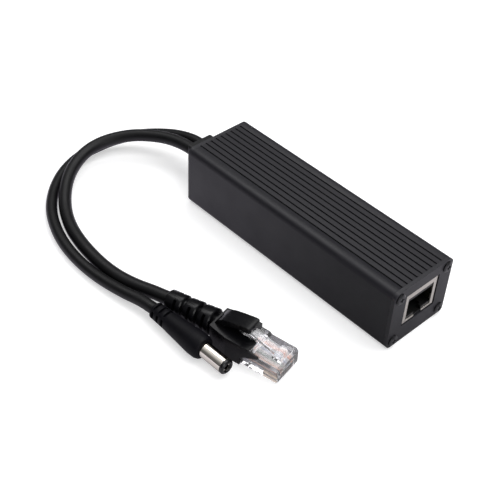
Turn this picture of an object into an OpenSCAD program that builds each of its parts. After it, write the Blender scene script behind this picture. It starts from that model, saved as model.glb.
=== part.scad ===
// PoE splitter: a grooved black aluminium tube closed by two end plates,
// with a shielded network socket at one end and two short moulded cords at the other.
// Origin: centre of the case in plan, Z = 0 on the case's underside.
// +X points out of the network socket, +Z is up.

/* [Case] */
// Length of the extruded tube between the two end plates
case_length = 100; // [96:1:140]
// Width of the case across the board
case_width = 30; // [29.5:0.25:36]
// Height of the case
case_height = 25.5; // [25:0.25:32]
// Wall thickness of the tube
case_wall = 1.5; // [1.2:0.1:1.8]
// Radius of the tube's four long outer corners
case_corner = 2.5; // [1.5:0.1:3]
// Thickness of each end plate
plate_thickness = 1.5; // [1:0.1:2.5]

/* [Top grooves] */
// Number of narrow grooves along the top
groove_count = 9; // [3:2:9]
// Distance from groove to groove
groove_pitch = 2.5; // [2:0.1:2.7]
// Width of one groove
groove_width = 0.6; // [0.3:0.05:1]
// Depth of one groove
groove_depth = 0.5; // [0.2:0.05:0.8]

/* [End screws] */
// Distance from a screw's axis to the two case walls beside it
screw_inset = 3; // [2.8:0.1:3.2]
// Diameter of the thread
screw_d = 2.4; // [2:0.1:2.6]
// Length of the thread under the head
screw_length = 7; // [4:0.5:10]
// Diameter of the head
screw_head_d = 4.2; // [3.4:0.1:4.6]
// Height of the head
screw_head_h = 0.8; // [0.5:0.1:1.2]
// Outer diameter of the screw port inside the tube
screw_port_d = 4.4; // [4.2:0.1:4.6]

/* [Circuit board] */
// Length of the board
board_length = 93; // [90:0.5:94]
// Thickness of the board
board_thickness = 1.6; // [1:0.1:2]
// Free height between the tube's floor and the board
board_lift = 4.65; // [4.4:0.05:5]
// Distance from the front end of the tube to the board
board_setback = 1; // [0.5:0.1:2]
// Depth of the two slots that hold the board's edges
slot_depth = 1.5; // [1:0.1:2]

/* [Network socket] */
// Width of the metal shield
jack_width = 16; // [15.6:0.1:17]
// Free height between the shield and the tube's roof
jack_roof_gap = 3.2; // [2.8:0.05:4]
// Depth of the socket from front to back
jack_depth = 21; // [18:0.5:24]
// Thickness of the shield's sheet metal
jack_sheet = 0.3; // [0.2:0.05:0.4]
// How far the shield stands out of the front plate
jack_proud = -0.3; // [-0.6:0.05:0.3]
// Gap between the shield and the cut-out in the front plate
jack_gap = 0.4; // [0.2:0.05:0.6]
// Width of the port that takes the plug
port_width = 11.9; // [11.8:0.05:12.2]
// Height from the board to the floor of the port that takes the plug
port_low = 1.9; // [1.7:0.05:2.1]
// Depth of the port
port_depth = 15; // [13:0.5:16]

/* [Strain relief] */
// Width of the moulded block behind the rear plate
relief_width = 12.4; // [11.6:0.1:14]
// Height of the moulded block
relief_height = 8; // [7:0.1:9]
// Length of the block that stands out of the rear plate
relief_length = 11; // [8:0.5:14]
// Thickness of the moulded flange inside the case
relief_flange = 2; // [1:0.1:2.5]

/* [Cords] */
// Diameter of the network cord
net_cord_d = 5; // [4.4:0.1:5.2]
// Diameter of the power cord
dc_cord_d = 4.4; // [3.8:0.1:4.6]
// Direction of the network plug in plan, in degrees
net_turn = 11.5; // [10:0.5:13]
// Direction of the power plug in plan, in degrees
dc_turn = 2; // [1:0.25:3]

/* [Network plug] */
// Width of the clear plug
plug_width = 11.68; // [11.5:0.01:11.7]
// Height of the clear plug at its front
plug_height = 6.6; // [6.3:0.1:7]
// Length of the clear plug
plug_length = 21.5; // [20.5:0.5:22.5]
// Wall of the boot beside and under the plug
boot_wall = 0.6; // [0.5:0.05:0.8]
// Length of the boot's ribbed tail
tail_length = 21; // [18:0.5:26]

/* [Power plug] */
// Diameter of the moulded power plug
dc_body_d = 9; // [8.6:0.1:9]
// Length of the smooth part of the moulded power plug
dc_body_length = 17.3; // [14:0.5:22]
// Length of the slotted strain relief behind it
dc_tail_length = 7.5; // [6.5:0.5:9]
// Diameter of the metal barrel
barrel_d = 5.5; // [5.5:0.1:5.5]
// Length of the barrel with its insulating tip
barrel_length = 10.9; // [9:0.1:12]
// Diameter of the bore that takes the centre pin
barrel_bore = 2.1; // [2.1:0.4:2.5]

/* [Hidden] */
$fn = 48;

// Amount by which a cutting shape runs past a face
over = 1;

// Case and end plates
half_length = case_length / 2;
inner_width = case_width - 2 * case_wall;
inner_height = case_height - 2 * case_wall;
inner_corner = 0.6;
front_x = half_length + plate_thickness;
rear_x = -front_x;
screw_y = case_width / 2 - screw_inset;
screw_zs = [screw_inset, case_height - screw_inset];
screw_hole_d = screw_d + 0.4;
recess_w = 0.6;
recess_l = 2.2;
recess_depth = 0.5;

// Circuit board
slot_gap = 0.1;
slot_lip = 1;
board_width = inner_width - 2 * slot_gap;
board_z = case_wall + board_lift;
board_top = board_z + board_thickness;
board_front = half_length - board_setback;
board_rear = board_front - board_length;
film_thickness = 0.3;

// Parts on the board: sizes, and places as [x, y] from the middle of the board's front edge
lan_size = [17, 14, 5.8];
lan_at = [-28.5, 0];
controller_size = [6, 5, 1.5];
controller_at = [-43, 5.9];
bridge_size = [4.6, 3.4, 2.5];
bridge_at = [-39.9, -6.8];
bridge_pitch = 5.4;
transformer_at = [-56, 0];
core_l = 12;
core_w = 13;
core_h = 10.5;
core_leg = 2;
core_plate = 2.4;
core_pole_d = 4.6;
core_gap = 0.2;
bobbin_h = 1.2;
rail = 1.8;
input_cap = [8, 10.5];
input_cap_at = [-70.6, 5.3];
output_cap = [6.3, 8.5];
output_cap_at = [-78.7, 6.1];
output_cap_pitch = 6.8;
inductor = [9, 4.8];
inductor_at = [-70, -4.8];
rectifier = [6, 4.4, 2.3];
rectifier_at = [-79, -1.6];
opto = [4, 4.2, 2.2];
opto_at = [-82, -7.3];
disc_size = [7, 2.6];
disc_gap = 0.3;
disc_at = [-49.5, core_w / 2 + disc_gap + disc_size[1] / 2];
disc_stand = 1.5;

// Network socket, all heights above the board's top face
jack_x = front_x + jack_proud;
jack_back = jack_x - jack_depth;
jack_height = inner_height - board_lift - board_thickness - jack_roof_gap;
window_width = port_width + 1.1;
window_low = 0.75;
window_high = jack_height - 2.2;
latch_slot = 4;
port_top = jack_height - 3.85;
port_height = port_top - port_low;
contact_count = 8;
contact_pitch = 1.02;
contact_width = 0.45;
contact_sheet = 0.35;
contact_bay = 1.6;
contact_fold = 2.2;
contact_reach = 10.5;
contact_drop = 2;

// Strain relief and cord exits
relief_z = case_height / 2;
relief_neck_w = relief_width - 2;
relief_neck_h = relief_height - 1.8;
relief_back = rear_x - relief_length;
relief_inner = -half_length + relief_flange;
net_exit_y = -2.7;
dc_exit_y = 2.4;

// Network plug frame: x = 0 on the end of the boot's tail, Z = 0 on the floor
net_end = [-11.3, -57.3, 4.3];
tail_r = 3.7;
tail_root_r = 4.95;
tail_core_r = 3;
tail_rise = 3;
plug_lift = 0.6;
boot_to_front = 28.5;
boot_setback = 15;
arm_setback = 7.6;
hood_setback = 13.6;
plug_front = tail_length + boot_to_front;
plug_back = plug_front - plug_length;
boot_half = plug_width / 2 + boot_wall;
boot_roof = 9.1;
boot_front = plug_front - boot_setback;
arm_front = plug_front - arm_setback;
hood_front = plug_front - hood_setback;
hood_width = 6;
latch_width = 3.25;
latch_root_width = 6.2;
rear_rise = 0.9;
wire_d = 0.95;
wire_z = plug_lift + 3;
wire_length = 13.3;
wire_end = 1.2;
wire_room = 0.1;

// Power plug frame: x = 0 on the end of its tail, on the plug's axis
dc_end = [-10.3, -64.5, 4.55];
dc_tail_r = 3.1;
dc_waist_r = 3.4;
dc_face = dc_tail_length + dc_body_length;
barrel_end = dc_face + barrel_length;
barrel_r = barrel_d / 2;
tip_length = 1.4;
barrel_wall = 0.45;
barrel_neck = 0.4;
seat_r = barrel_r - barrel_wall;
seat_inner_r = seat_r - barrel_wall;
seat_depth = 4;
sleeve_wall = 0.4;
sleeve_set = 0.6;
sleeve_depth = 9;

// Route of the network cord, from the strain relief to the boot
net_route = [
    [-62.5, -2.7, 12.75], [-69, -3.3, 12.6], [-76, -5, 12], [-82.3, -8.2, 11.2],
    [-88, -12.6, 10.3], [-92.2, -18, 9.2], [-94.8, -24, 8.1], [-95.3, -30, 7.1],
    [-93.8, -36, 6.2], [-90.6, -42, 5.3], [-86, -47.6, 4.4], [-80.2, -52.6, 3.5],
    [-73.3, -56.9, 2.8], [-65, -60.3, 2.6], [-56, -62.4, 2.6], [-47, -63.4, 2.6],
    [-39, -63.5, 2.6], [-32, -62.8, 2.7], [-25, -61.2, 3], [-18, -59.1, 3.7],
    [-11.3, -57.3, 4.3]
];

// Route of the power cord, from the strain relief to its plug
dc_route = [
    [-62.5, 2.4, 12.75], [-69, 2.2, 12.1], [-76, 1, 10.7], [-83, -1.6, 8.8],
    [-89.5, -5.6, 6.9], [-94.6, -10.7, 5.2], [-98, -16.5, 3.8], [-99.6, -22.6, 2.8],
    [-99.8, -29, 2.4], [-98.4, -35.6, 2.3], [-95.5, -42.2, 2.3], [-91.2, -48.6, 2.3],
    [-85.4, -54.8, 2.3], [-78.2, -60.2, 2.3], [-70, -64.2, 2.3], [-61, -67, 2.3],
    [-52, -68.4, 2.3], [-43, -68.7, 2.4], [-34, -68.1, 2.8], [-25, -66.8, 3.5],
    [-17, -65.2, 4.2], [-10.3, -64.5, 4.55]
];

// Sides of the swept cords and of the thin leads
cord_sides = 10;
lead_sides = 6;

function unit(v) = v / norm(v);
function turned(angle, rise = 0) = [cos(angle) * cos(rise), sin(angle) * cos(rise), sin(rise)];

// Direction of a route at one of its points, with both ends given
function along(p, i, first, last) =
    i == 0 ? first : (i == len(p) - 1 ? last : unit(p[i + 1] - p[i - 1]));

// Points of one ring round a route point, square to the direction t
function ring(c, t, r, sides, ref) =
    let (n1 = unit(ref - (ref * t) * t), n2 = cross(t, n1))
    [for (j = [0:sides - 1]) c + r * (cos(360 * j / sides) * n1 + sin(360 * j / sides) * n2)];

// A round cord or lead swept along the points p
module swept(p, r, sides, ref, first, last) {
    rings = [for (i = [0:len(p) - 1]) each ring(p[i], along(p, i, first, last), r, sides, ref)];
    walls = [for (i = [0:len(p) - 2]) for (j = [0:sides - 1])
        let (a = i * sides + j, b = i * sides + (j + 1) % sides)
        each [[a, a + sides, b + sides], [a, b + sides, b]]];
    start_cap = [[for (j = [0:sides - 1]) j]];
    end_cap = [[for (j = [0:sides - 1]) len(rings) - 1 - j]];
    polyhedron(points = rings, faces = concat(walls, start_cap, end_cap));
}

// A rectangle with round corners, centred across and standing on the axis
module rounded_rect(w, h, r) {
    translate([-w / 2 + r, 0]) square([w - 2 * r, h]);
    translate([-w / 2, r]) square([w, h - 2 * r]);
    for (x = [-w / 2 + r, w / 2 - r]) {
        for (y = [r, h - r]) {
            translate([x, y]) circle(r);
        }
    }
}

// Turns a flat (y, z) outline into a solid from x0 along +X
module extrude_x(x0, length) {
    translate([x0, 0, 0]) rotate([90, 0, 90]) linear_extrude(length) children();
}

// Turns a flat (x, z) outline into a solid of the given width about y = mid
module extrude_y(width, mid = 0) {
    translate([0, mid + width / 2, 0]) rotate([90, 0, 0]) linear_extrude(width) children();
}

// Revolves an (r, x) outline about the X axis
module revolve_x() {
    rotate([90, 0, 90]) rotate_extrude() children();
}

// A box given by its two corners
module block(lo, hi) {
    translate(lo) cube(hi - lo);
}

module at_screws() {
    for (y = [-screw_y, screw_y]) {
        for (z = screw_zs) {
            translate([y, z]) children();
        }
    }
}

// Case

module case_profile() {
    slot_low = board_z - slot_gap;
    slot_high = board_top + slot_gap;
    difference() {
        union() {
            difference() {
                rounded_rect(case_width, case_height, case_corner);
                translate([0, case_wall]) rounded_rect(inner_width, inner_height, inner_corner);
            }
            // Ports for the end screws, trimmed to the outline of the case
            intersection() {
                rounded_rect(case_width, case_height, case_corner);
                at_screws() circle(d = screw_port_d);
            }
            // Lips above and below the board's edges
            for (s = [-1, 1]) {
                for (z = [slot_low - slot_lip, slot_high]) {
                    translate([s * (inner_width / 2 - slot_depth / 2), z + slot_lip / 2])
                        square([slot_depth + 0.4, slot_lip], center = true);
                }
            }
        }
        at_screws() circle(d = screw_d);
        for (i = [0:groove_count - 1]) {
            translate([(i - (groove_count - 1) / 2) * groove_pitch - groove_width / 2,
                case_height - groove_depth]) square([groove_width, groove_depth + over]);
        }
    }
}

module case_tube() {
    color([0.09, 0.09, 0.1]) extrude_x(-half_length, case_length) case_profile();
}

module front_plate() {
    color([0.13, 0.13, 0.14]) extrude_x(half_length, plate_thickness) difference() {
        rounded_rect(case_width, case_height, case_corner);
        translate([-jack_width / 2 - jack_gap, board_top - jack_gap])
            square([jack_width + 2 * jack_gap, jack_height + 2 * jack_gap]);
        at_screws() circle(d = screw_hole_d);
    }
}

module rear_plate() {
    color([0.13, 0.13, 0.14]) extrude_x(rear_x, plate_thickness) difference() {
        rounded_rect(case_width, case_height, case_corner);
        translate([0, relief_z - relief_neck_h / 2]) rounded_rect(relief_neck_w, relief_neck_h, 1);
        at_screws() circle(d = screw_hole_d);
    }
}

// One pan-head screw with a cross recess, its head's seat at x = 0 and its thread along -X
module screw() {
    head_r = screw_head_d / 2;
    difference() {
        union() {
            revolve_x() polygon([[0, 0], [head_r, 0], [head_r, screw_head_h * 0.45],
                [head_r * 0.72, screw_head_h], [0, screw_head_h]]);
            translate([-screw_length, 0, 0]) rotate([0, 90, 0]) cylinder(d = screw_d, h = screw_length);
        }
        for (size = [[recess_w, recess_l], [recess_l, recess_w]]) {
            translate([screw_head_h - recess_depth, -size[0] / 2, -size[1] / 2])
                cube([over, size[0], size[1]]);
        }
    }
}

module end_screws() {
    for (y = [-screw_y, screw_y]) {
        for (z = screw_zs) {
            translate([front_x, y, z]) screw();
        }
    }
}

module front_screws() {
    color([0.1, 0.1, 0.11]) end_screws();
}

module rear_screws() {
    color([0.1, 0.1, 0.11]) mirror([1, 0, 0]) end_screws();
}

// Board and insulation

module circuit_board() {
    color([0.05, 0.3, 0.14]) block([board_rear, -board_width / 2, board_z],
        [board_front, board_width / 2, board_top]);
}

module insulating_film() {
    film_width = 2 * screw_y - screw_port_d - 0.6;
    color([0.75, 0.72, 0.6]) block([board_rear, -film_width / 2, case_wall],
        [board_front, film_width / 2, case_wall + film_thickness]);
}

// Network socket

module in_jack() {
    translate([jack_x, 0, board_top]) children();
}

// The mouth of the port with its slot for the plug's latch, as a (y, z) outline
module window_outline() {
    translate([-window_width / 2, window_low]) square([window_width, window_high - window_low]);
    translate([-latch_slot / 2, -over]) square([latch_slot, window_low + over + 0.1]);
}

module jack_shield() {
    side_x = [-jack_depth, 0];
    inner_half = jack_width / 2 - jack_sheet;
    tongue_y = window_width / 2;
    tongue_h = port_height / 3;
    color([0.75, 0.74, 0.7]) in_jack() {
        difference() {
            block([side_x[0], -jack_width / 2, 0], [side_x[1], jack_width / 2, jack_height]);
            block([side_x[0] + jack_sheet, -inner_half, -over],
                [side_x[1] - jack_sheet, inner_half, jack_height - jack_sheet]);
            extrude_x(-2 * jack_sheet, 4 * jack_sheet) window_outline();
        }
        // Spring tongues bent back behind the window's sides
        for (s = [-1, 1]) {
            for (z = [port_low + tongue_h / 4, port_top - tongue_h]) {
                translate([0, s * (tongue_y + jack_sheet / 2), z])
                    block([-5, -jack_sheet / 2, 0], [-jack_sheet / 2, jack_sheet / 2, tongue_h]);
            }
        }
    }
}

module jack_housing() {
    front = -jack_sheet;
    half = jack_width / 2 - jack_sheet;
    bay = contact_count * contact_pitch + 0.6;
    mouth = window_width / 2 + jack_sheet + 0.05;
    color([0.05, 0.05, 0.05]) in_jack() difference() {
        block([-jack_depth + jack_sheet, -half, 0], [front, half, jack_height - jack_sheet]);
        // Port for the plug
        block([front - port_depth, -port_width / 2, port_low], [over, port_width / 2, port_top]);
        // Wider mouth behind the shield's window, for the spring tongues
        block([front - 5.4, -mouth, port_low], [over, mouth, port_top]);
        // Slot for the latch and the pocket behind it that the latch snaps into
        block([front - 6, -latch_slot / 2, 0.5], [over, latch_slot / 2, port_low + over]);
        block([front - 12, -3.2, 0.5], [front - 1.6, 3.2, port_low + over]);
        // Bay for the contact springs above the port
        block([front - port_depth, -bay / 2, port_low + over], [front - 1.5, bay / 2, port_top + contact_bay]);
    }
}

// One contact spring: it runs back along the roof of the port and folds down to the front
module contact_spring() {
    roof = port_top + contact_bay;
    x0 = -jack_sheet - port_depth;
    x1 = -jack_sheet - contact_fold;
    x2 = -jack_sheet - contact_reach;
    low = port_top - contact_drop;
    extrude_y(contact_width) polygon([
        [x0, roof], [x1, roof], [x1 + contact_sheet, roof - contact_sheet],
        [x1 + contact_sheet, roof - 2.4 * contact_sheet], [x2, low - contact_sheet],
        [x2 - 0.8, low - contact_sheet], [x2 - 0.8, low], [x2, low],
        [x1, roof - 2 * contact_sheet], [x1, roof - contact_sheet], [x0, roof - contact_sheet]
    ]);
}

module jack_contacts() {
    color([0.85, 0.68, 0.3]) in_jack() {
        for (i = [0:contact_count - 1]) {
            translate([0, (i - (contact_count - 1) / 2) * contact_pitch, 0]) contact_spring();
        }
    }
}

// Parts on the board, each placed by its centre as seen from above

module on_board(at) {
    translate([board_front + at[0], at[1], board_top]) children();
}

// A chip of the given [length, width, height], held just above the board by legs along two sides
module chip(size, legs) {
    length = size[0];
    width = size[1];
    height = size[2];
    leg_w = size[2] / 10 + 0.25;
    foot = size[1] / 10 + 0.3;
    stand = 0.15;
    pitch = length / legs;
    block([-length / 2, -width / 2, stand], [length / 2, width / 2, height]);
    for (i = [0:legs - 1]) {
        x = (i - (legs - 1) / 2) * pitch;
        for (s = [-1, 1]) {
            translate([x, s * width / 2, 0]) {
                block([-leg_w / 2, -foot, 0], [leg_w / 2, foot, 2 * stand]);
                block([-leg_w / 2, s > 0 ? 0 : -stand, 0], [leg_w / 2, s > 0 ? stand : 0, height / 2]);
            }
        }
    }
}

module lan_transformer() {
    color([0.07, 0.07, 0.08]) on_board(lan_at) rotate([0, 0, 90]) chip(lan_size, 12);
}

module poe_controller() {
    color([0.08, 0.08, 0.09]) on_board(controller_at) chip(controller_size, 8);
}

module bridge_rectifiers() {
    color([0.06, 0.06, 0.07]) for (x = [0, -bridge_pitch]) {
        on_board(bridge_at + [x, 0]) rotate([0, 0, 90]) chip(bridge_size, 2);
    }
}

module transformer_core() {
    color([0.2, 0.2, 0.21]) on_board(transformer_at) {
        difference() {
            block([-core_l / 2, -core_w / 2, bobbin_h], [core_l / 2, core_w / 2, core_h]);
            block([-core_l / 2 - over, -core_w / 2 + core_leg, bobbin_h + core_plate],
                [core_l / 2 + over, core_w / 2 - core_leg, core_h - core_plate]);
        }
        translate([0, 0, bobbin_h + core_plate]) cylinder(d = core_pole_d, h = core_h - bobbin_h - 2 * core_plate);
    }
}

module transformer_winding() {
    wind_d = core_w - 2 * core_leg - 2 * core_gap;
    low = bobbin_h + core_plate;
    high = core_h - core_plate;
    color([0.85, 0.7, 0.2]) on_board(transformer_at) {
        difference() {
            union() {
                translate([0, 0, low]) cylinder(d = wind_d, h = high - low);
                for (s = [-1, 1]) {
                    block([s > 0 ? 0 : -core_l / 2 - rail, -wind_d / 2, low],
                        [s > 0 ? core_l / 2 + rail : 0, wind_d / 2, low + rail / 2]);
                }
            }
            translate([0, 0, low - over]) cylinder(d = core_pole_d, h = high - low + 2 * over);
        }
        // Pin rails at both ends, standing on the board and carrying the coil former
        for (s = [-1, 1]) {
            translate([s * (core_l / 2 + core_gap + rail / 2), 0, 0])
                block([-rail / 2, -core_w / 2, 0], [rail / 2, core_w / 2, low + rail / 2]);
        }
        block([-core_l / 2 - 2 * core_gap, -wind_d / 2, 0], [core_l / 2 + 2 * core_gap, wind_d / 2, bobbin_h]);
    }
}

// A standing can capacitor with its crimped neck, its size being [diameter, height]
module can(size) {
    r = size[0] / 2;
    h = size[1];
    crimp = size[0] / 22;
    rotate_extrude() polygon([[0, 0], [r, 0], [r, 3 * crimp], [r - crimp, 4 * crimp], [r, 5 * crimp],
        [r, h - crimp], [r - crimp, h], [0, h]]);
}

module input_capacitor() {
    color([0.12, 0.12, 0.2]) on_board(input_cap_at) can(input_cap);
}

module output_capacitors() {
    color([0.6, 0.6, 0.62]) for (x = [0, -output_cap_pitch]) {
        on_board(output_cap_at + [x, 0]) can(output_cap);
    }
}

module output_inductor() {
    w = inductor[0] / 2;
    c = inductor[0] / 7;
    color([0.25, 0.25, 0.26]) on_board(inductor_at) difference() {
        linear_extrude(inductor[1]) polygon([[-w + c, -w], [w - c, -w], [w, -w + c], [w, w - c],
            [w - c, w], [-w + c, w], [-w, w - c], [-w, -w + c]]);
        translate([0, 0, inductor[1] * 0.87]) cylinder(r = w * 0.6, h = inductor[1]);
    }
}

module output_rectifier() {
    color([0.08, 0.08, 0.09]) on_board(rectifier_at) chip(rectifier, 1);
}

module optocoupler() {
    color([0.9, 0.9, 0.86]) on_board(opto_at) rotate([0, 0, 90]) chip(opto, 2);
}

module isolation_capacitor() {
    r = disc_size[0] / 2;
    color([0.15, 0.35, 0.7]) on_board(disc_at) {
        translate([0, 0, r + disc_stand]) rotate([90, 0, 0]) cylinder(r = r, h = disc_size[1], center = true);
        for (x = [-r * 0.7, r * 0.7]) {
            translate([x, 0, 0]) cylinder(d = disc_size[1] / 4, h = r);
        }
    }
}

// Leads inside the case, from the strain relief to the board

module network_leads() {
    lead_r = 0.45;
    color([0.9, 0.5, 0.2]) for (i = [0:7]) {
        row = floor(i / 4);
        col = i % 4;
        y0 = net_exit_y + (col - 1.5) * 1.1;
        z0 = relief_z - 0.7 + row * 1.4;
        y1 = -8.9 + i % 4 * 2.2 + row * 1.1;
        x1 = board_rear + 2.2 + row * 1.6;
        points = [
            [relief_inner, y0, z0],
            [relief_inner + 1.2, y0, z0],
            [x1 - 1.6, (y0 + y1) / 2, z0 + 0.1 - row * 0.1],
            [x1 - 0.3, y1, z0 - 1],
            [x1, y1, board_top + 1.4],
            [x1, y1, board_top]
        ];
        swept(points, lead_r, lead_sides, [0, 1, 0], [1, 0, 0], [0, 0, -1]);
    }
}

module power_leads() {
    lead_r = 0.7;
    color([0.7, 0.1, 0.1]) for (i = [0:1]) {
        y0 = dc_exit_y - 0.3 + i * 1.6;
        y1 = 2.6 + i * 3.2;
        x1 = board_rear + 2.6;
        z0 = relief_z;
        points = [
            [relief_inner, y0, z0],
            [relief_inner + 1.2, y0, z0],
            [x1 - 1.6, (y0 + y1) / 2, z0 - 0.2],
            [x1 - 0.3, y1, z0 - 1.4],
            [x1, y1, board_top + 1.4],
            [x1, y1, board_top]
        ];
        swept(points, lead_r, lead_sides, [0, 1, 0], [1, 0, 0], [0, 0, -1]);
    }
}

// Strain relief: one moulding that grips the rear plate from both sides

module strain_relief() {
    edge = 1.2;
    flange_low = relief_z - relief_height / 2;
    color([0.06, 0.06, 0.06]) {
        intersection() {
            translate([0, 0, flange_low]) extrude_x(relief_back, relief_length)
                rounded_rect(relief_width, relief_height, edge);
            // Plan outline with the two far corners rounded
            translate([0, 0, flange_low - over]) linear_extrude(relief_height + 2 * over)
                translate([relief_back, 0]) rotate([0, 0, -90])
                    rounded_rect(relief_width, relief_length + edge * 2, edge);
        }
        translate([0, 0, relief_z - relief_neck_h / 2]) extrude_x(rear_x, plate_thickness)
            rounded_rect(relief_neck_w, relief_neck_h, 1);
        translate([0, 0, flange_low]) extrude_x(-half_length, relief_flange)
            rounded_rect(relief_width, relief_height, edge);
    }
}

module network_cord() {
    color([0.06, 0.06, 0.06])
        swept(net_route, net_cord_d / 2, cord_sides, [0, 0, 1], [-1, 0, 0], turned(net_turn, tail_rise));
}

module power_cord() {
    color([0.06, 0.06, 0.06])
        swept(dc_route, dc_cord_d / 2, cord_sides, [0, 0, 1], [-1, 0, 0], turned(dc_turn));
}

// Network plug, its frame starting at the end of the cord

module at_net_plug() {
    translate([net_end[0], net_end[1], 0]) rotate([0, 0, net_turn]) children();
}

// Ribbed tail of the boot: rings split by grooves, each ring notched at both sides
module boot_tail() {
    lead = 0.6;
    pitch = (tail_length - lead) / 3.2;
    groove = 1.2;
    round = 0.4;
    translate([0, 0, net_end[2]]) rotate([0, -tail_rise, 0]) difference() {
        union() {
            revolve_x() polygon([[0, 0], [tail_core_r, 0], [tail_core_r, tail_length + 1], [0, tail_length + 1]]);
            for (i = [0:2]) {
                x = i == 0 ? 0 : lead + i * pitch + groove;
                x1 = lead + (i + 1) * pitch;
                r = tail_r + (tail_root_r - tail_r) * i / 3;
                r1 = tail_r + (tail_root_r - tail_r) * (i + 1) / 3;
                revolve_x() polygon([[0, x], [r - round, x], [r, x + round], [r1, x1 - round],
                    [r1 - round, x1], [0, x1]]);
            }
            // Web that carries the rings, below the core
            block([lead, -1, -tail_core_r - 0.3], [tail_length + 1, 1, 0]);
        }
        for (i = [0:2]) {
            x = lead + (i + 0.5) * pitch;
            r = tail_r + (tail_root_r - tail_r) * (i + 0.5) / 3;
            for (s = [-1, 1]) {
                translate([x, s * r, 0]) block([0, -0.5 * r, -0.88 * r], [groove, 0.5 * r, 0.88 * r]);
            }
        }
    }
}

// The hood that guards the latch, as an (x, z) outline
module hood_outline() {
    root = tail_length + 0.6;
    polygon([
        [root, boot_roof - 1.4], [root, boot_roof], [root + 0.8, 10.3], [root + 1.8, 11.3],
        [root + 3.2, 12.2], [root + 5, 12.9], [root + 8, 13.6], [root + 11, 14.2],
        [hood_front - 1.8, 14.5], [hood_front - 0.6, 14.5], [hood_front - 0.1, 14.2], [hood_front, 13.7],
        [hood_front, 13], [hood_front - 0.3, 12.6], [root + 11.5, 12.2], [root + 9, 11.7],
        [root + 6.5, 11], [root + 4.6, 10.1], [root + 3.4, boot_roof - 0.4]
    ]);
}

// The hood with the corners of its free end rounded
module hood() {
    intersection() {
        extrude_y(hood_width) hood_outline();
        translate([hood_front, 0, 0]) rotate([0, 0, 90]) linear_extrude(2 * boot_roof)
            rounded_rect(hood_width, 2 * tail_length, 0.8);
    }
}

module plug_boot() {
    shell_mid = tail_length + 7.5;
    tail_half = tail_root_r;
    plug_half = plug_width / 2;
    cover_z = plug_lift + plug_height + rear_rise;
    arm_drop = 2.8;
    latch_gap = 1.6;
    color([0.05, 0.05, 0.055]) at_net_plug() difference() {
        union() {
            boot_tail();
            // Shell that flares from the tail to the plug
            linear_extrude(boot_roof) polygon([
                [tail_length, -tail_half], [tail_length + 2, -tail_half - 0.5],
                [shell_mid - 2, -boot_half + 0.35], [shell_mid, -boot_half], [boot_front, -boot_half],
                [boot_front, boot_half], [shell_mid, boot_half], [shell_mid - 2, boot_half - 0.35],
                [tail_length + 2, tail_half + 0.5], [tail_length, tail_half]
            ]);
            // Tapered arms along the plug's sides, one of them set lower
            for (s = [-1, 1]) {
                drop = s > 0 ? arm_drop : 0;
                extrude_y(boot_wall - 0.05, s * (boot_half - boot_wall / 2 + 0.025)) polygon([
                    [boot_front - 1, 3.6], [boot_front, 3.6], [arm_front - 3, 5.9 - drop], [arm_front - 0.6, 7 - drop],
                    [arm_front, 7.7 - drop], [arm_front - 0.4, 8.2 - drop], [boot_front + 1, 8.8 - drop],
                    [boot_front - 1, 8.9 - drop]
                ]);
            }
            // Lip over the back of the plug, beside the latch
            block([boot_front - 1, -boot_half + 0.2, cover_z], [boot_front + 3.3, -latch_gap, boot_roof - 0.2]);
            hood();
        }
        // Pocket that the plug slides into
        block([plug_back, -plug_half, plug_lift], [plug_front, plug_half, cover_z]);
        // Room for the latch under the hood
        block([boot_front - 4, -latch_gap, cover_z - over], [boot_front + 5, 2.7, boot_roof + 1.2]);
    }
}

// The clear plug with its latch, its cord pocket and its contact slots
module plug_body() {
    half = plug_width / 2;
    z0 = plug_lift;
    z1 = z0 + plug_height;
    tall = plug_front - 11.5;
    slot_w = 0.5;
    channel = (contact_count - 1) * contact_pitch / 2 + wire_d / 2 + wire_room;
    color([0.9, 0.92, 0.95, 0.5]) at_net_plug() difference() {
        union() {
            extrude_y(plug_width) polygon([
                [plug_back, z0], [plug_front - 0.6, z0], [plug_front, z0 + 0.6],
                [plug_front, z1 - 0.8], [plug_front - 0.8, z1], [tall + 1, z1],
                [tall, z1 + rear_rise], [plug_back, z1 + rear_rise]
            ]);
            // Wide root of the latch, then its lever rising to the back
            extrude_y(latch_root_width) polygon([
                [plug_front - 0.9, z1 - 0.3], [plug_front - 1.9, z1 + 1.1], [plug_front - 4.6, z1 + 1.3],
                [plug_front - 4.6, z1 + 0.2], [plug_front - 2.6, z1 + 0.1], [plug_front - 2.2, z1 - 0.3]
            ]);
            extrude_y(latch_width) polygon([
                [plug_front - 4.5, z1 + 0.2], [plug_front - 4.5, z1 + 1.3], [plug_front - 9, z1 + 3],
                [plug_front - 14.5, z1 + 4.7], [plug_front - 15, z1 + 3.9], [plug_front - 9.2, z1 + 1.9]
            ]);
        }
        // Pocket for the end of the cord
        block([plug_back - over, -3.6, z0 + 1.2], [plug_front - 12.5, 3.6, z1 - 0.6]);
        // Channel that holds the eight wires
        block([plug_front - wire_end - wire_length - wire_room, -channel, wire_z - wire_d / 2 - wire_room],
            [plug_front - wire_end, channel, wire_z + wire_d / 2 + wire_room]);
        // Slots for the contacts, open at the underside
        for (i = [0:contact_count - 1]) {
            y = (i - (contact_count - 1) / 2) * contact_pitch;
            block([plug_front - 6.4, y - slot_w / 2, z0 - over], [plug_front - 0.7, y + slot_w / 2, z0 + 2.5]);
        }
        // Notch that the cord clamp leaves in the underside
        block([plug_front - 15, -3, z0 - over], [plug_front - 12.8, 3, z0 + 1.3]);
    }
}

module plug_contacts() {
    blade = 0.35;
    z0 = plug_lift;
    color([0.85, 0.65, 0.3]) at_net_plug() {
        for (i = [0:contact_count - 1]) {
            y = (i - (contact_count - 1) / 2) * contact_pitch;
            block([plug_front - 6.4, y - blade / 2, z0 + 0.35], [plug_front - 1, y + blade / 2, z0 + 2.4]);
        }
    }
}

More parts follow.
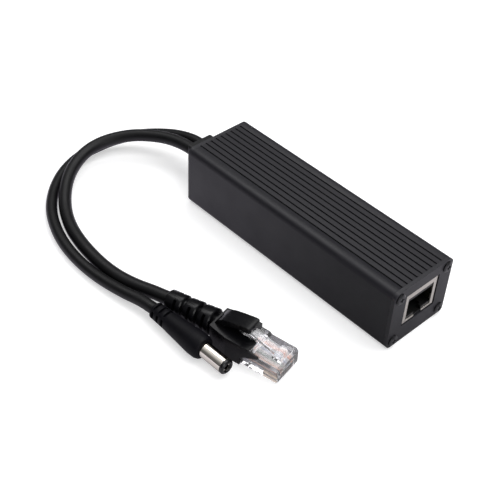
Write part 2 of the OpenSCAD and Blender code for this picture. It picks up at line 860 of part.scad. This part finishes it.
module plug_wires() {
    color([0.95, 0.6, 0.35]) at_net_plug() {
        for (i = [0:contact_count - 1]) {
            y = (i - (contact_count - 1) / 2) * contact_pitch;
            translate([plug_front - wire_end - wire_length, y, wire_z]) rotate([0, 90, 0])
                cylinder(d = wire_d, h = wire_length, $fn = 16);
        }
    }
}

// Power plug, its frame starting at the end of the cord

module at_dc_plug() {
    translate(dc_end) rotate([0, 0, dc_turn]) children();
}

module dc_plug_housing() {
    r = dc_body_d / 2;
    slots = 3;
    pitch = dc_tail_length / slots;
    slot = 1.1;
    color([0.07, 0.07, 0.075]) at_dc_plug() difference() {
        revolve_x() polygon([
            [0, 0], [dc_tail_r - 0.5, 0], [dc_tail_r, 0.5], [dc_waist_r, dc_tail_length],
            [dc_waist_r + 0.15, dc_tail_length + 1.5], [r - 0.3, dc_face - 8], [r, dc_face - 4.5],
            [r - 0.1, dc_face - 1.6], [r - 0.5, dc_face - 0.5], [r - 1.2, dc_face], [0, dc_face]
        ]);
        // Four rows of slots that let the tail bend
        for (i = [0:slots - 1]) {
            x = pitch * (i + 0.5);
            depth = dc_tail_r + (dc_waist_r - dc_tail_r) * x / dc_tail_length - 1.1;
            for (a = [0, 90, 180, 270]) {
                rotate([a, 0, 0]) block([x, -1.9, depth], [x + slot, 1.9, depth + 3]);
            }
        }
        // Seat of the barrel and its core
        translate([dc_face - seat_depth, 0, 0]) rotate([0, 90, 0]) cylinder(r = seat_r, h = seat_depth + over);
    }
}

module dc_barrel() {
    back = dc_face - seat_depth;
    neck = dc_face + barrel_neck;
    front = barrel_end - tip_length;
    color([0.9, 0.89, 0.86]) at_dc_plug() revolve_x() polygon([
        [seat_inner_r, back], [seat_r, back], [seat_r, neck], [barrel_r, neck],
        [barrel_r, front], [seat_r, front], [seat_r, neck + barrel_wall], [seat_inner_r, neck + barrel_wall]
    ]);
}

module dc_insulator() {
    sleeve_r = barrel_bore / 2 + sleeve_wall;
    back = dc_face - seat_depth;
    neck = dc_face + barrel_neck + barrel_wall;
    front = barrel_end - tip_length;
    sleeve_back = barrel_end - sleeve_set - sleeve_depth - 0.6;
    color([0.04, 0.04, 0.04]) at_dc_plug() revolve_x() polygon([
        [0, back], [seat_inner_r, back], [seat_inner_r, neck], [seat_r, neck], [seat_r, front],
        [barrel_r, front], [barrel_r, barrel_end - 0.5], [barrel_r - 0.5, barrel_end],
        [sleeve_r + 0.3, barrel_end], [sleeve_r, barrel_end - 0.4], [sleeve_r, sleeve_back], [0, sleeve_back]
    ]);
}

module dc_inner_contact() {
    bore_r = barrel_bore / 2;
    sleeve_r = bore_r + sleeve_wall;
    front = barrel_end - sleeve_set;
    color([0.85, 0.83, 0.78]) at_dc_plug() revolve_x() polygon([
        [bore_r, front], [sleeve_r, front], [sleeve_r, front - sleeve_depth - 0.6],
        [0, front - sleeve_depth - 0.6], [0, front - sleeve_depth], [bore_r, front - sleeve_depth]
    ]);
}

case_tube();
front_plate();
rear_plate();
front_screws();
rear_screws();
circuit_board();
insulating_film();
jack_shield();
jack_housing();
jack_contacts();
lan_transformer();
poe_controller();
bridge_rectifiers();
transformer_core();
transformer_winding();
input_capacitor();
output_capacitors();
output_inductor();
output_rectifier();
optocoupler();
isolation_capacitor();
network_leads();
power_leads();
strain_relief();
network_cord();
plug_boot();
plug_body();
plug_contacts();
plug_wires();
power_cord();
dc_plug_housing();
dc_barrel();
dc_insulator();
dc_inner_contact();
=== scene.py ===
"""Looks of the PoE splitter: materials, softened edges, smooth cords, light and camera."""

import math

import bmesh
import bpy
from mathutils import Matrix, Vector


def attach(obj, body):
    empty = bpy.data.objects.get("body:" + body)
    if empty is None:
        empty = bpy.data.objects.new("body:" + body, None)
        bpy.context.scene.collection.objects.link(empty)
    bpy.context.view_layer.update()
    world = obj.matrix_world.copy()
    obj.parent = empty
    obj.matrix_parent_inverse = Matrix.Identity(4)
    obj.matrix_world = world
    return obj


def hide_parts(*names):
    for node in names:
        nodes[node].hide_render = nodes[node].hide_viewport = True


MM = 0.001

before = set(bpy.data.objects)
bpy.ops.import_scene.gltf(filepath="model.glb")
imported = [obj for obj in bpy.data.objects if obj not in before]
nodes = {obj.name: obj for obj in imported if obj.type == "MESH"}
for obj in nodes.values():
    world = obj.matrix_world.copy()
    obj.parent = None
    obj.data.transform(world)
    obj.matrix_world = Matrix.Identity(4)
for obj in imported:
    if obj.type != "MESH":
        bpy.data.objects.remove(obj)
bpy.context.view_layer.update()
scene = bpy.context.scene

# Camera

FOCAL = 72.09
SENSOR_WIDTH = 36
CLIP_START = 0.01
AZIMUTH = math.radians(45.007)
ELEVATION = math.radians(42.254)
ROLL = math.radians(3.222)
CAMERA_AT = Vector((180.0, -210.7, 250.6)) * MM


def make_camera():
    back = Vector((
        math.sin(AZIMUTH) * math.cos(ELEVATION),
        -math.cos(AZIMUTH) * math.cos(ELEVATION),
        math.sin(ELEVATION),
    ))
    right = Vector((math.cos(AZIMUTH), math.sin(AZIMUTH), 0))
    up = back.cross(right)
    turned_right = math.cos(ROLL) * right + math.sin(ROLL) * up
    turned_up = math.cos(ROLL) * up - math.sin(ROLL) * right
    data = bpy.data.cameras.new("camera")
    data.lens = FOCAL
    data.sensor_width = SENSOR_WIDTH
    data.clip_start = CLIP_START
    camera = bpy.data.objects.new("camera", data)
    turn = Matrix((turned_right, turned_up, back)).transposed()
    camera.matrix_world = Matrix.Translation(CAMERA_AT) @ turn.to_4x4()
    scene.collection.objects.link(camera)
    scene.camera = camera


make_camera()

# Routes and diameters of the two cords, in millimetres, and the way the network plug points

NET_DIAMETER = 5.0
NET_ROUTE = [
    (-62.5, -2.7, 12.75), (-69, -3.3, 12.6), (-76, -5, 12), (-82.3, -8.2, 11.2),
    (-88, -12.6, 10.3), (-92.2, -18, 9.2), (-94.8, -24, 8.1), (-95.3, -30, 7.1),
    (-93.8, -36, 6.2), (-90.6, -42, 5.3), (-86, -47.6, 4.4), (-80.2, -52.6, 3.5),
    (-73.3, -56.9, 2.8), (-65, -60.3, 2.6), (-56, -62.4, 2.6), (-47, -63.4, 2.6),
    (-39, -63.5, 2.6), (-32, -62.8, 2.7), (-25, -61.2, 3), (-18, -59.1, 3.7),
    (-11.3, -57.3, 4.3),
]
NET_TURN = math.radians(11.5)
DC_DIAMETER = 4.4
DC_ROUTE = [
    (-62.5, 2.4, 12.75), (-69, 2.2, 12.1), (-76, 1, 10.7), (-83, -1.6, 8.8),
    (-89.5, -5.6, 6.9), (-94.6, -10.7, 5.2), (-98, -16.5, 3.8), (-99.6, -22.6, 2.8),
    (-99.8, -29, 2.4), (-98.4, -35.6, 2.3), (-95.5, -42.2, 2.3), (-91.2, -48.6, 2.3),
    (-85.4, -54.8, 2.3), (-78.2, -60.2, 2.3), (-70, -64.2, 2.3), (-61, -67, 2.3),
    (-52, -68.4, 2.3), (-43, -68.7, 2.4), (-34, -68.1, 2.8), (-25, -66.8, 3.5),
    (-17, -65.2, 4.2), (-10.3, -64.5, 4.55),
]

# Node helpers


class Nodes:
    """Adds nodes and links to the tree of a material or a world."""

    def __init__(self, owner):
        owner.use_nodes = True
        self.tree = owner.node_tree

    def add(self, kind, inputs=None, **settings):
        node = self.tree.nodes.new(kind)
        for key, value in settings.items():
            setattr(node, key, value)
        for key, value in (inputs or {}).items():
            self.put(value, node.inputs[key])
        return node

    def put(self, value, socket):
        if isinstance(value, bpy.types.NodeSocket):
            self.tree.links.new(value, socket)
        else:
            socket.default_value = value

    def ramp(self, fac, stops, interpolation="LINEAR"):
        node = self.add("ShaderNodeValToRGB", {"Fac": fac})
        node.color_ramp.interpolation = interpolation
        elements = node.color_ramp.elements
        while len(elements) < len(stops):
            elements.new(0.5)
        for i, (place, colour) in enumerate(stops):
            elements[i].position = place
            elements[i].color = (*colour, 1)
        return node.outputs[0]

    def emission(self, colour, strength):
        inputs = {"Color": (*colour, 1), "Strength": strength}
        return self.add("ShaderNodeEmission", inputs).outputs[0]

    def mix_shader(self, fac, first, second):
        return self.add("ShaderNodeMixShader", {0: fac, 1: first, 2: second}).outputs[0]

    def rays(self):
        """Whether a ray is the camera's own or one through clear plastic, and whether glossy."""
        path = self.add("ShaderNodeLightPath").outputs
        inputs = {0: path["Is Camera Ray"], 1: path["Is Transmission Ray"]}
        straight = self.add("ShaderNodeMath", inputs, operation="MAXIMUM").outputs[0]
        return straight, path["Is Glossy Ray"]


class Surface(Nodes):
    """The tree of a new material, with its shader and the piece's own coordinates."""

    NOISE_ROUGHNESS = 0.6

    def __init__(self, name):
        self.material = bpy.data.materials.new(name)
        super().__init__(self.material)
        self.shader = self.tree.nodes["Principled BSDF"]
        self.coords = self.add("ShaderNodeTexCoord").outputs["Object"]

    def set(self, **values):
        """Put values or sockets into the shader's inputs, named with _ in place of a space."""
        for key, value in values.items():
            self.put(value, self.shader.inputs[key.replace("_", " ")])

    def noise(self, scale, detail=3, stretch=(1, 1, 1), turn=0):
        mapping = self.add(
            "ShaderNodeMapping",
            {"Vector": self.coords, "Scale": stretch, "Rotation": (0, 0, turn)},
        )
        inputs = {
            "Vector": mapping.outputs[0],
            "Scale": scale,
            "Detail": detail,
            "Roughness": self.NOISE_ROUGHNESS,
        }
        return self.add("ShaderNodeTexNoise", inputs).outputs["Fac"]

    def span(self, value, low, high, from_low=0.3, from_high=0.7):
        """Turn the range from_low to from_high of a value into the range low to high."""
        inputs = {
            "Value": value,
            "From Min": from_low,
            "From Max": from_high,
            "To Min": low,
            "To Max": high,
        }
        return self.add("ShaderNodeMapRange", inputs).outputs[0]

    def blend(self, fac, first, second):
        """Mix two colours, each a socket or three numbers."""
        mix = self.add("ShaderNodeMix", data_type="RGBA")
        self.put(fac, mix.inputs[0])
        for colour, socket in ((first, mix.inputs[6]), (second, mix.inputs[7])):
            is_socket = isinstance(colour, bpy.types.NodeSocket)
            self.put(colour if is_socket else (*colour, 1), socket)
        return mix.outputs[2]

    def bump(self, height, strength, distance, below=None):
        inputs = {"Height": height, "Strength": strength, "Distance": distance}
        if below is not None:
            inputs["Normal"] = below
        return self.add("ShaderNodeBump", inputs).outputs[0]

    def split(self, vector):
        return self.add("ShaderNodeSeparateXYZ", {"Vector": vector}).outputs


# Materials

GRAIN_DARKER = 0.82
GRAIN_BUMP = 0.35
WAVE_BUMP = 0.4
WAVES_TO_CLOUD = 3


def surface(name, dark, light, rough, metal=0.0, cloud=60, grain=2500, grain_depth=0.00002,
            stretch=(1, 1, 1), turn=0, wave=0.0, painted_shade=None, **extra):
    """A material with cloudy colour, uneven sheen and a fine grain.

    painted_shade holds two distances from the middle of the case along it and a colour of
    painted shade: between the two, the surface turns from that shade to its own colour.
    """
    n = Surface(name)
    patches = n.noise(cloud, detail=4)
    fine = n.noise(grain, detail=2, stretch=stretch, turn=turn)
    tone = n.blend(n.span(patches, 0, 1), dark, light)
    darker = [c * GRAIN_DARKER for c in dark]
    tone = n.blend(n.span(fine, 0, 1, from_low=0.2, from_high=0.8), darker, tone)
    # Painted shade: the surface darkens towards the middle of the case, deeper in than the given
    # distances
    if painted_shade:
        near, far, colour = painted_shade
        along = n.add("ShaderNodeMath", {0: n.split(n.coords)["X"]}, operation="ABSOLUTE")
        tone = n.blend(n.span(along.outputs[0], 0, 1, near, far), colour, tone)
    normal = n.bump(fine, GRAIN_BUMP, grain_depth)
    if wave:
        waves = n.noise(cloud * WAVES_TO_CLOUD, detail=2)
        normal = n.bump(waves, WAVE_BUMP, wave, normal)
    n.set(Base_Color=tone, Roughness=n.span(patches, *rough), Normal=normal, Metallic=metal,
          **extra)
    return n.material


ALONG_CASE = (0.012, 1, 1)
ACROSS_FACE = (1, 0.06, 1)
ALONG_BARREL = (0.04, 1, 1)
BARREL_TURN = math.radians(-2)

anodised = surface(
    "anodised", (0.0082, 0.0077, 0.0112), (0.011, 0.0103, 0.0148), (0.4, 0.52),
    grain=3200, stretch=ALONG_CASE, grain_depth=0.00001, Specular_IOR_Level=0.36)
plate = surface(
    "plate_anodised", (0.0083, 0.0077, 0.0117), (0.0114, 0.0106, 0.0158), (0.4, 0.52),
    grain=3600, grain_depth=0.000012, Specular_IOR_Level=0.46)
# Near-black painted shade on the screw heads where they lie less than 51.8 mm from the case's
# middle, which takes in the cross recesses
screw_steel = surface(
    "screw_steel", (0.02, 0.0195, 0.023), (0.03, 0.029, 0.034), (0.28, 0.4),
    cloud=700, grain=5000, painted_shade=(0.0518, 0.0521, (0.002, 0.002, 0.002)))
# Dark painted shade on the shield inside the socket, where it lies less than 50.4 mm from the
# case's middle, behind its front sheet
shield_metal = surface(
    "shield_metal", (0.62, 0.58, 0.53), (0.8, 0.76, 0.7), (0.26, 0.38), metal=0.85,
    cloud=180, grain=5200, stretch=ACROSS_FACE, grain_depth=0.000008,
    painted_shade=(0.0504, 0.0511, (0.035, 0.035, 0.024)))
socket_plastic = surface(
    "socket_plastic", (0.003, 0.003, 0.003), (0.005, 0.005, 0.005), (0.36, 0.48), cloud=300)
gold = surface(
    "contact_gold", (0.72, 0.5, 0.2), (0.9, 0.66, 0.3), (0.18, 0.3), metal=1.0, cloud=500)
blade_gold = surface(
    "blade_gold", (0.82, 0.66, 0.5), (0.93, 0.8, 0.66), (0.15, 0.28), metal=1.0, cloud=600)
relief_plastic = surface(
    "relief_plastic", (0.005, 0.005, 0.0055), (0.008, 0.008, 0.009), (0.4, 0.52),
    cloud=260, Specular_IOR_Level=0.3)
cord_sheath = surface(
    "cord_sheath", (0.0022, 0.0022, 0.0027), (0.0038, 0.0038, 0.0046), (0.38, 0.5),
    cloud=160, grain=2600, grain_depth=0.00003, wave=0.00003, Specular_IOR_Level=0.28)
boot_plastic = surface(
    "boot_plastic", (0.003, 0.003, 0.0038), (0.005, 0.005, 0.0063), (0.18, 0.28),
    cloud=220, grain=3000, grain_depth=0.000008, wave=0.00002, Specular_IOR_Level=0.55, IOR=1.3)
dc_plastic = surface(
    "dc_plastic", (0.0032, 0.003, 0.0046), (0.0052, 0.0049, 0.0074), (0.42, 0.52),
    cloud=240, grain=3400, grain_depth=0.000014, Specular_IOR_Level=0.12)
nickel = surface(
    "bright_nickel", (0.88, 0.82, 0.73), (0.95, 0.9, 0.82), (0.05, 0.1), metal=1.0,
    cloud=200, grain=5200, stretch=ALONG_BARREL, turn=BARREL_TURN, grain_depth=0.000003)
tip_plastic = surface(
    "tip_plastic", (0.004, 0.004, 0.004), (0.007, 0.007, 0.007), (0.2, 0.32), cloud=500)
board_mask = surface(
    "board_mask", (0.01, 0.07, 0.03), (0.02, 0.12, 0.05), (0.3, 0.42), cloud=200)
film = surface(
    "film", (0.42, 0.38, 0.24), (0.55, 0.5, 0.33), (0.15, 0.3), cloud=120)
epoxy = surface(
    "epoxy", (0.012, 0.012, 0.013), (0.022, 0.022, 0.023), (0.5, 0.62), cloud=500)
ferrite = surface(
    "ferrite", (0.035, 0.035, 0.037), (0.06, 0.06, 0.062), (0.5, 0.68), cloud=600, wave=0.00004)
tape = surface(
    "winding_tape", (0.55, 0.36, 0.03), (0.72, 0.5, 0.07), (0.25, 0.4), cloud=150)
can_sleeve = surface(
    "can_sleeve", (0.01, 0.01, 0.03), (0.02, 0.02, 0.05), (0.25, 0.4), cloud=300)
can_metal = surface(
    "can_metal", (0.5, 0.5, 0.52), (0.66, 0.66, 0.68), (0.25, 0.4), metal=0.9, cloud=300)
white_epoxy = surface(
    "white_epoxy", (0.6, 0.6, 0.55), (0.72, 0.72, 0.68), (0.45, 0.6), cloud=500)
disc_dip = surface(
    "disc_dip", (0.03, 0.1, 0.35), (0.05, 0.16, 0.46), (0.18, 0.3), cloud=300)
lead_orange = surface(
    "lead_orange", (0.6, 0.2, 0.04), (0.78, 0.3, 0.08), (0.35, 0.5), cloud=300)
lead_red = surface(
    "lead_red", (0.4, 0.02, 0.015), (0.55, 0.04, 0.03), (0.35, 0.5), cloud=300)


def clear_plastic():
    """Clear moulding with a slight haze and an uneven surface."""
    n = Surface("clear_plastic")
    haze = n.noise(scale=220, detail=4)
    n.set(
        Base_Color=n.blend(n.span(haze, 0, 1), (0.925, 0.92, 0.945), (0.975, 0.97, 0.985)),
        Roughness=n.span(haze, low=0.02, high=0.1),
        Normal=n.bump(n.noise(scale=420), strength=0.3, distance=0.00003),
        Transmission_Weight=0.94,
        IOR=1.5,
    )
    return n.material


# The spacing of the wires in millimetres, their colours in order across the plug, and the pale
# sheen on them with its greatest share
WIRE_PITCH = 1.02
WIRE_COLOURS = [
    (0.7, 0.44, 0.34), (0.84, 0.74, 0.7), (0.62, 0.68, 0.64), (0.82, 0.8, 0.82),
    (0.62, 0.66, 0.76), (0.82, 0.8, 0.8), (0.88, 0.42, 0.28), (0.88, 0.72, 0.66),
]
WIRE_SHEEN = (0.9, 0.85, 0.8)
WIRE_SHEEN_SHARE = 0.25


def wire_colours():
    """Eight insulated wires side by side, each with its own colour across the plug."""
    n = Surface("wire_colours")
    end_x, end_y, _ = NET_ROUTE[-1]
    moved = n.add(
        "ShaderNodeMapping",
        {"Vector": n.coords, "Location": (-end_x * MM, -end_y * MM, 0)},
    )
    turned = n.add(
        "ShaderNodeMapping",
        {"Vector": moved.outputs[0], "Rotation": (0, 0, -NET_TURN)},
    )
    count = len(WIRE_COLOURS)
    half = count / 2 * WIRE_PITCH * MM
    place = n.span(n.split(turned.outputs[0])["Y"], 0, 1, -half, half)
    stops = [(i / count, colour) for i, colour in enumerate(WIRE_COLOURS)]
    colours = n.ramp(place, stops, "CONSTANT")
    patches = n.noise(scale=900)
    n.set(
        Base_Color=n.blend(n.span(patches, 0, WIRE_SHEEN_SHARE), colours, WIRE_SHEEN),
        Roughness=n.span(patches, low=0.3, high=0.45),
    )
    return n.material


clear = clear_plastic()
wires = wire_colours()

# Pieces

# Points closer than this are merged and faces flatter than this are joined. Edges count as
# sharp, and are rounded, from these angles on.
MERGE_WITHIN = 0.000001
FLAT_WITHIN = math.radians(0.6)
SHARP_FROM = math.radians(38)
ROUNDED_FROM = math.radians(32)


def paint(obj, material):
    obj.data.materials.clear()
    obj.data.materials.append(material)


def place_piece(obj, material, node):
    """Put a finished piece in the scene in place of its node."""
    scene.collection.objects.link(obj)
    paint(obj, material)
    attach(obj, "root")
    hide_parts(node)


def softened(name, node, material, slot, width, segments=2):
    """A piece with the node's shape whose sharp edges are rounded by width, in millimetres."""
    bm = bmesh.new()
    bm.from_mesh(nodes[node].data)
    bmesh.ops.remove_doubles(bm, verts=bm.verts, dist=MERGE_WITHIN)
    bmesh.ops.dissolve_limit(bm, angle_limit=FLAT_WITHIN, verts=bm.verts, edges=bm.edges)
    base = bpy.data.meshes.new(name + "_base")
    bm.to_mesh(base)
    bm.free()
    base.polygons.foreach_set("use_smooth", [True] * len(base.polygons))
    base.set_sharp_from_angle(angle=SHARP_FROM)
    temp = bpy.data.objects.new(name + "_base", base)
    scene.collection.objects.link(temp)
    bevel = temp.modifiers.new("bevel", "BEVEL")
    bevel.width = width * MM
    bevel.segments = segments
    bevel.limit_method = "ANGLE"
    bevel.angle_limit = ROUNDED_FROM
    bevel.use_clamp_overlap = True
    bevel.harden_normals = True
    depsgraph = bpy.context.evaluated_depsgraph_get()
    mesh = bpy.data.meshes.new_from_object(temp.evaluated_get(depsgraph))
    bpy.data.objects.remove(temp)
    mesh.name = name
    obj = bpy.data.objects.new(name, mesh)
    place_piece(obj, material, node)
    return obj


# Each piece's node, material and slot, the width of its rounded edges in millimetres and, where
# it isn't the usual number, their segments
SOFTENED = {
    "case_shell": ("case_tube", anodised, "case_anodised", 0.07),
    "front_cover": ("front_plate", plate, "plate_anodised", 0.12),
    "rear_cover": ("rear_plate", plate, "plate_anodised", 0.12),
    "front_screw_set": ("front_screws", screw_steel, "screw_black", 0.08),
    "rear_screw_set": ("rear_screws", screw_steel, "screw_black", 0.08),
    "socket_shield": ("jack_shield", shield_metal, "shield_steel", 0.06),
    "socket_insert": ("jack_housing", socket_plastic, "socket_black", 0.1),
    "relief_block": ("strain_relief", relief_plastic, "relief_black", 0.3, 3),
    "boot_shell": ("plug_boot", boot_plastic, "boot_black", 0.3, 3),
    "clear_plug": ("plug_body", clear, "plug_clear", 0.1),
    "power_plug_shell": ("dc_plug_housing", dc_plastic, "dc_plug_black", 0.15),
    "power_plug_barrel": ("dc_barrel", nickel, "barrel_nickel", 0.06),
    "power_plug_tip": ("dc_insulator", tip_plastic, "tip_black", 0.12),
}
pieces = {name: softened(name, *row) for name, row in SOFTENED.items()}

# Nodes that stay as they are, and their materials
PLAIN = {
    "circuit_board": board_mask, "insulating_film": film, "jack_contacts": gold,
    "lan_transformer": epoxy, "poe_controller": epoxy, "bridge_rectifiers": epoxy,
    "transformer_core": ferrite, "transformer_winding": tape, "input_capacitor": can_sleeve,
    "output_capacitors": can_metal, "output_inductor": ferrite, "output_rectifier": epoxy,
    "optocoupler": white_epoxy, "isolation_capacitor": disc_dip, "network_leads": lead_orange,
    "power_leads": lead_red, "plug_contacts": blade_gold, "plug_wires": wires,
    "dc_inner_contact": nickel,
}
for node_name, node_material in PLAIN.items():
    for material_slot in nodes[node_name].material_slots:
        material_slot.material = node_material

# Cords

STEPS = 5
CORD_ROUNDNESS = 6


def smooth_line(points):
    """Points of a smooth line through the given ones."""
    pts = [Vector(p) for p in points]
    pts = [2 * pts[0] - pts[1], *pts, 2 * pts[-1] - pts[-2]]
    line = []
    for a, b, c, d in zip(pts, pts[1:], pts[2:], pts[3:]):
        for k in range(STEPS):
            t = k / STEPS
            line.append(0.5 * (2 * b + (c - a) * t + (2 * a - 5 * b + 4 * c - d) * t * t
                               + (3 * b - a - 3 * c + d) * t * t * t))
    line.append(pts[-2])
    return line


def make_cord(name, route, diameter, node):
    line = smooth_line(route)
    data = bpy.data.curves.new(name, "CURVE")
    data.dimensions = "3D"
    data.bevel_depth = diameter / 2 * MM
    data.bevel_resolution = CORD_ROUNDNESS
    data.use_fill_caps = True
    spline = data.splines.new("POLY")
    spline.points.add(len(line) - 1)
    for point, place in zip(spline.points, line):
        point.co = (*(place * MM), 1)
    spline.use_smooth = True
    obj = bpy.data.objects.new(name, data)
    place_piece(obj, cord_sheath, node)


make_cord("network_cord_sheath", NET_ROUTE, NET_DIAMETER, "network_cord")
make_cord("power_cord_sheath", DC_ROUTE, DC_DIAMETER, "power_cord")

# Floor and light. A pair is a strength near by and far off, and its reach the two distances.

FLOOR_HALF = 3.0
FLOOR_DROP = 0.0001
FLOOR_COLOUR = (0.75, 0.75, 0.75, 1)
FLOOR_ROUGHNESS = 0.9
LIFT = (0.5, 0.95)
LIFT_REACH = (0.2, 0.9)
GLOW = (0.05, 1.5)
GLOW_REACH = (0.015, 0.13)
GLOW_FROM = (0.05, -0.035, 0)
GLOW_COLOUR = (0.9, 0.84, 1)
GLOW_SHARE = 0.45
WHITE = (1, 1, 1)


def make_floor():
    """A white floor that lifts its shadows for the camera.

    Glossy rays see it partly as a glow, painted light that is dimmed to painted shade by the
    case's front corner and brighter further off.
    """
    h = FLOOR_HALF
    mesh = bpy.data.meshes.new("floor")
    mesh.from_pydata([(-h, -h, 0), (h, -h, 0), (h, h, 0), (-h, h, 0)], [], [(0, 1, 2, 3)])
    floor = bpy.data.objects.new("floor", mesh)
    floor.location.z = -FLOOR_DROP
    scene.collection.objects.link(floor)
    n = Surface("floor_white")
    n.set(Base_Color=FLOOR_COLOUR, Roughness=FLOOR_ROUGHNESS, Specular_IOR_Level=0.0)
    plain = n.shader.outputs[0]
    straight, glossy = n.rays()
    out = n.add("ShaderNodeVectorMath", {0: n.coords}, operation="LENGTH")
    lift = n.emission(WHITE, n.span(out.outputs["Value"], *LIFT, *LIFT_REACH))
    lifted = n.add("ShaderNodeAddShader", {0: plain, 1: lift}).outputs[0]
    # Painted shade in reflections: the glow is dimmest at GLOW_FROM, by the case's front corner
    away = n.add("ShaderNodeVectorMath", {0: n.coords, 1: GLOW_FROM}, operation="DISTANCE")
    glow = n.emission(GLOW_COLOUR, n.span(away.outputs["Value"], *GLOW, *GLOW_REACH))
    seen = n.mix_shader(straight, plain, lifted)
    mirrored = n.mix_shader(GLOW_SHARE, plain, glow)
    mixed = n.mix_shader(glossy, seen, mirrored)
    n.put(mixed, n.tree.nodes["Material Output"].inputs["Surface"])
    paint(floor, n.material)


SKY = [(0.0, 0.1), (0.5, 0.14), (0.72, 0.36), (0.92, 1.0)]
SKY_BLUER = 1.02


def make_world():
    """Dark near the horizon and bright overhead.

    It is plain white where the camera or clear plastic looks at it.
    """
    world = bpy.data.worlds.new("world")
    scene.world = world
    n = Nodes(world)
    coords = n.add("ShaderNodeTexCoord").outputs["Generated"]
    height = n.add("ShaderNodeSeparateXYZ", {0: coords}).outputs["Z"]
    stops = [(place, (shade, shade, shade * SKY_BLUER)) for place, shade in SKY]
    sky = n.tree.nodes["Background"]
    n.put(n.ramp(height, stops), sky.inputs["Color"])
    white = n.add("ShaderNodeBackground", {"Color": (*WHITE, 1)})
    straight, _ = n.rays()
    mixed = n.mix_shader(straight, sky.outputs[0], white.outputs[0])
    n.put(mixed, n.tree.nodes["World Output"].inputs["Surface"])


# Each lamp's place and size in metres, and its power
LAMPS = {
    "key": ((0.2, 0.32, 0.85), (0.7, 0.7), 4.3),
    "strip": ((-0.5, 0.16, 0.77), (0.9, 0.26), 2.2),
    "side": ((0.75, -0.25, 0.4), (0.35, 0.5), 1.6),
}
LAMP_TARGET = Vector((-0.02, -0.03, 0.01))


def softbox(name, place, size, power):
    data = bpy.data.lights.new(name, "AREA")
    data.shape = "RECTANGLE"
    data.size, data.size_y = size
    data.energy = power
    lamp = bpy.data.objects.new(name, data)
    lamp.location = place
    aim = LAMP_TARGET - Vector(place)
    lamp.rotation_euler = aim.to_track_quat("-Z", "Y").to_euler()
    lamp.visible_camera = False
    scene.collection.objects.link(lamp)


make_floor()
make_world()
for lamp_name, lamp_row in LAMPS.items():
    softbox(lamp_name, *lamp_row)

scene.view_settings.view_transform = "Standard"
